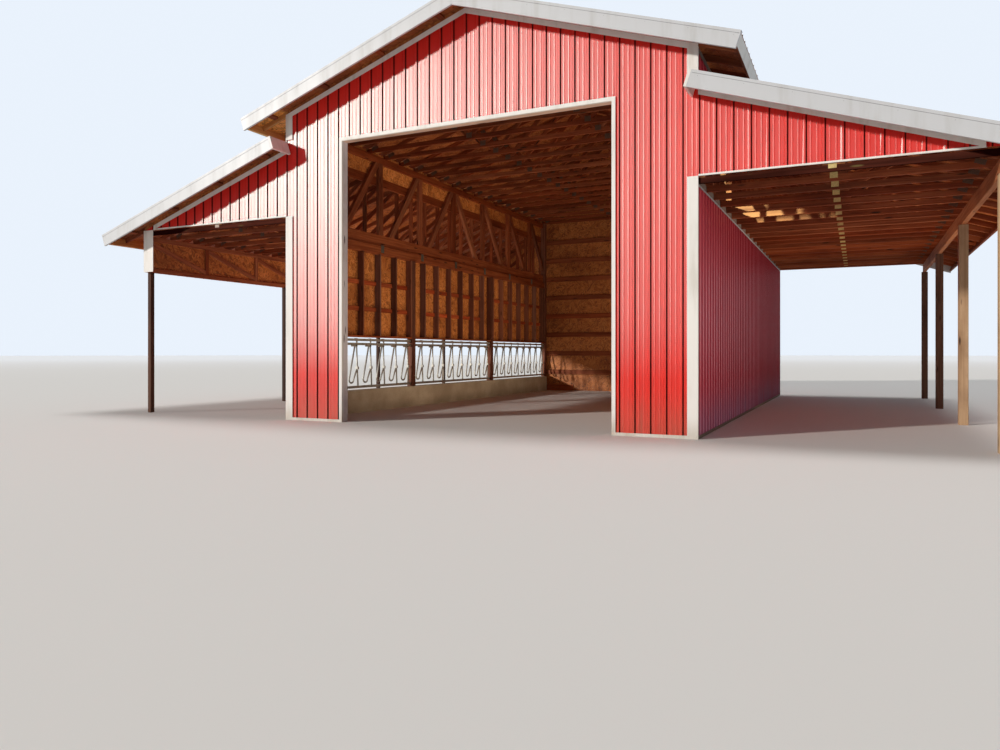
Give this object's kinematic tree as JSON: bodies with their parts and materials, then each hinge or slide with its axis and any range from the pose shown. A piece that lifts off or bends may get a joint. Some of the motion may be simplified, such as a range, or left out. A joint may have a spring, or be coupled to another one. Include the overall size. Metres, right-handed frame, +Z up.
{
  "type": "monitor barn with side sheds",
  "caption": "Red ribbed-steel barn with a raised centre aisle, a wide open front doorway, open sheds on both sides and a feed front with headlocks along one inner wall.",
  "frame": {"origin": "the middle of the building's box, on the ground", "axes": "+Z up, the doorway in the front wall faces -Y, +X to the right seen from the front"},
  "size_m": [15.9104, 13.11, 6.8178],
  "materials": {
    "timber": "sawn softwood, stained reddish brown",
    "sheathing": "bare oriented strand board",
    "red_steel": "glossy red paint on ribbed steel sheet",
    "white_trim": "satin white paint on folded steel trim",
    "roof_steel": "light grey ribbed steel roofing",
    "galvanised": "hot-dip galvanised tube",
    "concrete": "cast concrete, dusty"
  },
  "bodies": {
    "root": {"feed_kerb": "concrete", "headlock_rails": "galvanised", "headlock_bars": "galvanised", "wall_posts": "timber", "eave_posts": "timber", "right_eave_beam": "timber", "left_eave_truss": "timber", "side_headers": "timber", "girder_chords": "timber", "girder_webs": "timber", "wall_sills": "timber", "wall_studs": "timber", "wall_blocking": "timber", "wall_girts": "timber", "door_header": "timber", "gable_sheathing": "sheathing", "side_sheathing": "sheathing", "front_siding": "red_steel", "front_siding_over_door": "red_steel", "shed_gable_siding": "red_steel", "rear_siding": "red_steel", "side_siding": "red_steel", "main_rafters_left": "timber", "main_rafters_right": "timber", "main_ties": "timber", "main_webs": "timber", "shed_rafters": "timber", "shed_ties": "timber", "shed_webs": "timber", "main_deck_left": "sheathing", "main_deck_right": "sheathing", "shed_decks": "sheathing", "main_roofing": "roof_steel", "shed_roofing": "roof_steel", "ridge_cap": "roof_steel", "rake_fascias": "white_trim", "rake_trims": "white_trim", "eave_fascias": "timber", "rake_lookouts": "timber", "door_trim": "white_trim", "corner_trims": "white_trim", "panel_edge_trims": "white_trim", "wall_rake_trims": "white_trim", "shed_roof_top_trims": "white_trim", "eave_trims": "white_trim"}
  },
  "joints": []
}
